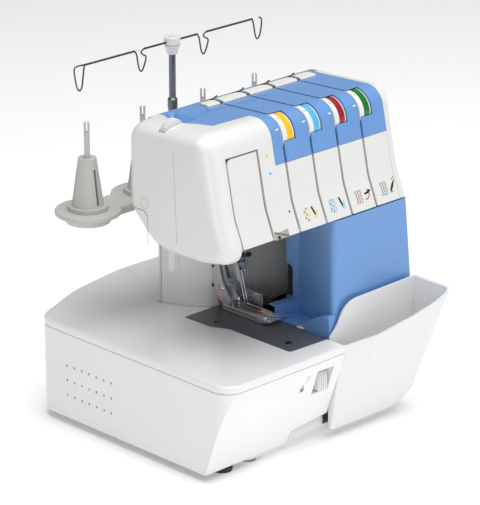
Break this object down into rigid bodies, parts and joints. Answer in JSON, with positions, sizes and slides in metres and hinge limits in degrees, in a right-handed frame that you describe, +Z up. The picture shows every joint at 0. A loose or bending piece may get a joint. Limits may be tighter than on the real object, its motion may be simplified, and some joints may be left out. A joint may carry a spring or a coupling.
{
  "type": "serger overlock machine",
  "caption": "Household overlock serger with free arm, extension table, trim bin, row of colour-coded tension dials, cone stand and telescopic thread antenna.",
  "frame": {"origin": "middle of the footprint's bounding box, on the surface the machine stands on", "axes": "X points to the machine's right end with the handwheel, Y to its rear, Z up"},
  "size_m": [0.2915, 0.319, 0.35],
  "materials": {
    "white_plastic": "satin moulded plastic",
    "blue_plastic": "satin moulded plastic",
    "bin_plastic": "translucent frosted plastic",
    "grey_plastic": "fine texture",
    "cream_plastic": "fine texture",
    "black_plastic": "fine texture",
    "yellow_dial": "satin",
    "cyan_dial": "satin",
    "red_dial": "satin",
    "green_dial": "satin",
    "plate_steel": "satin ground steel",
    "bright_steel": "polished",
    "grey_steel": "ground",
    "cast_frame": "as cast",
    "bronze": "sintered",
    "dark_metal": "black paint",
    "rubber": "matte"
  },
  "bodies": {
    "machine": {"base_plate": "white_plastic", "machine_feet": "rubber", "arm_frame": "cast_frame", "bed_casing": "white_plastic", "column_cover": "white_plastic", "rear_cover": "white_plastic", "right_end_cover": "white_plastic", "head_cover": "white_plastic", "needle_thread_cover": "white_plastic", "front_panels": "white_plastic", "top_cover": "blue_plastic", "tension_bracket": "black_plastic", "tension_spindles": "bright_steel", "rear_guides": "cream_plastic", "cutter_cover": "white_plastic", "shaft_bearings": "bronze", "motor": "dark_metal", "drive_belt": "rubber", "switch_frame": "white_plastic", "power_inlet": "black_plastic", "needle_plate": "plate_steel", "plate_screws": "bright_steel", "presser_spring": "bright_steel", "lower_knife": "bright_steel", "spool_tray": "grey_plastic", "spool_pins": "grey_plastic", "cone_holders": "grey_plastic", "antenna_lower": "bright_steel"},
    "drive": {"main_shaft": "bright_steel", "drive_pulley": "dark_metal", "handwheel": "white_plastic"},
    "motor_rotor": {"motor_pulley": "dark_metal"},
    "needle_unit": {"needle_bar": "bright_steel", "needle_clamp": "grey_steel", "needles": "bright_steel"},
    "presser_unit": {"presser_bar": "grey_steel", "presser_ankle": "grey_steel"},
    "foot": {"presser_foot": "bright_steel"},
    "lifter": {"presser_lifter": "dark_metal"},
    "feed": {"feed_dogs": "plate_steel"},
    "upper_looper_arm": {"upper_looper": "bright_steel"},
    "lower_looper_arm": {"lower_looper": "bright_steel"},
    "knife": {"upper_knife": "bright_steel"},
    "front_cover": {"looper_cover": "blue_plastic"},
    "bin": {"waste_bin": "bin_plastic"},
    "table": {"table_lid": "white_plastic", "table_body": "white_plastic", "table_feet": "rubber"},
    "latch": {"table_latch": "white_plastic"},
    "dial_1": {"tension_dial_1": "yellow_dial"},
    "dial_2": {"tension_dial_2": "cyan_dial"},
    "dial_3": {"tension_dial_3": "red_dial"},
    "dial_4": {"tension_dial_4": "green_dial"},
    "pressure_wheel": {"pressure_thumbwheel": "cream_plastic"},
    "stitch_dial": {"stitch_length_dial": "grey_plastic"},
    "diff_dial": {"differential_dial": "grey_plastic"},
    "switch": {"power_switch": "black_plastic"},
    "antenna": {"antenna_upper": "bright_steel", "antenna_cap": "white_plastic"},
    "thread_bar": {"guide_bar": "bright_steel"}
  },
  "joints": [
    {"name": "handwheel_turn", "type": "hinge", "parent": "machine", "child": "drive", "pos_m": [0, 0.04, 0.14], "axis": [1, 0, 0], "continuous": true},
    {"name": "motor_turn", "type": "hinge", "parent": "machine", "child": "motor_rotor", "pos_m": [0, 0.029, 0.052], "axis": [1, 0, 0], "continuous": true},
    {"name": "needle_stroke", "type": "slide", "parent": "machine", "child": "needle_unit", "axis": [0, 0.2723, 0.9622], "range_m": [-0.013, 0.012]},
    {"name": "presser_lift", "type": "slide", "parent": "machine", "child": "presser_unit", "axis": [0, 0.2723, 0.9622], "range_m": [0, 0.0071]},
    {"name": "foot_tilt", "type": "hinge", "parent": "presser_unit", "child": "foot", "pos_m": [-0.0045, 0.005, 0.1104], "axis": [1, 0, 0], "range_deg": [-5, 0]},
    {"name": "lifter_turn", "type": "hinge", "parent": "machine", "child": "lifter", "pos_m": [0, 0.014, 0.222], "axis": [1, 0, 0], "range_deg": [0, 45]},
    {"name": "feed_stroke", "type": "slide", "parent": "machine", "child": "feed", "axis": [0, 1, 0], "range_m": [-0.002, 0.002]},
    {"name": "upper_looper_swing", "type": "hinge", "parent": "machine", "child": "upper_looper_arm", "pos_m": [0.034, 0, 0.06], "axis": [0, 1, 0], "range_deg": [-6, 8]},
    {"name": "lower_looper_swing", "type": "hinge", "parent": "machine", "child": "lower_looper_arm", "pos_m": [-0.02, 0, 0.052], "axis": [0, 1, 0], "range_deg": [-12, 6]},
    {"name": "knife_stroke", "type": "slide", "parent": "machine", "child": "knife", "axis": [0, 0, 1], "range_m": [-0.006, 0]},
    {"name": "front_cover_slide", "type": "slide", "parent": "machine", "child": "front_cover", "axis": [1, 0, 0], "range_m": [0, 0.01]},
    {"name": "bin_pull", "type": "slide", "parent": "machine", "child": "bin", "axis": [0, -1, 0], "range_m": [0, 0.06]},
    {"name": "table_slide", "type": "slide", "parent": "machine", "child": "table", "axis": [-1, 0, 0], "range_m": [0, 0.12]},
    {"name": "latch_slide", "type": "slide", "parent": "table", "child": "latch", "axis": [-1, 0, 0], "range_m": [0, 0.007]},
    {"name": "dial_1_turn", "type": "hinge", "parent": "machine", "child": "dial_1", "pos_m": [0, -0.056, 0.2903], "axis": [1, 0, 0], "range_deg": [-135, 135]},
    {"name": "dial_2_turn", "type": "hinge", "parent": "machine", "child": "dial_2", "pos_m": [0, -0.056, 0.2903], "axis": [1, 0, 0], "range_deg": [-135, 135]},
    {"name": "dial_3_turn", "type": "hinge", "parent": "machine", "child": "dial_3", "pos_m": [0, -0.056, 0.2903], "axis": [1, 0, 0], "range_deg": [-135, 135]},
    {"name": "dial_4_turn", "type": "hinge", "parent": "machine", "child": "dial_4", "pos_m": [0, -0.056, 0.2903], "axis": [1, 0, 0], "range_deg": [-135, 135]},
    {"name": "pressure_turn", "type": "hinge", "parent": "machine", "child": "pressure_wheel", "pos_m": [-0.0965, 0, 0.3016], "axis": [0, 1, 0], "range_deg": [-180, 180]},
    {"name": "stitch_dial_turn", "type": "hinge", "parent": "machine", "child": "stitch_dial", "pos_m": [0, -0.02, 0.084], "axis": [1, 0, 0], "range_deg": [-150, 150]},
    {"name": "diff_dial_turn", "type": "hinge", "parent": "machine", "child": "diff_dial", "pos_m": [0, -0.02, 0.054], "axis": [1, 0, 0], "range_deg": [-150, 150]},
    {"name": "switch_rock", "type": "hinge", "parent": "machine", "child": "switch", "pos_m": [0.117, 0, 0.041], "axis": [0, 1, 0], "range_deg": [-8, 8]},
    {"name": "antenna_slide", "type": "slide", "parent": "machine", "child": "antenna", "axis": [0, 0, -1], "range_m": [0, 0.025]},
    {"name": "thread_bar_turn", "type": "hinge", "parent": "antenna", "child": "thread_bar", "pos_m": [-0.0015, 0.088, 0], "axis": [0, 0, 1], "range_deg": [-20, 20]}
  ],
  "couplings": [
    {"joint": "motor_turn", "follows": "handwheel_turn", "ratio": 2.2796},
    {"joint": "presser_lift", "follows": "lifter_turn", "m_per_rad": 0.008913}
  ]
}
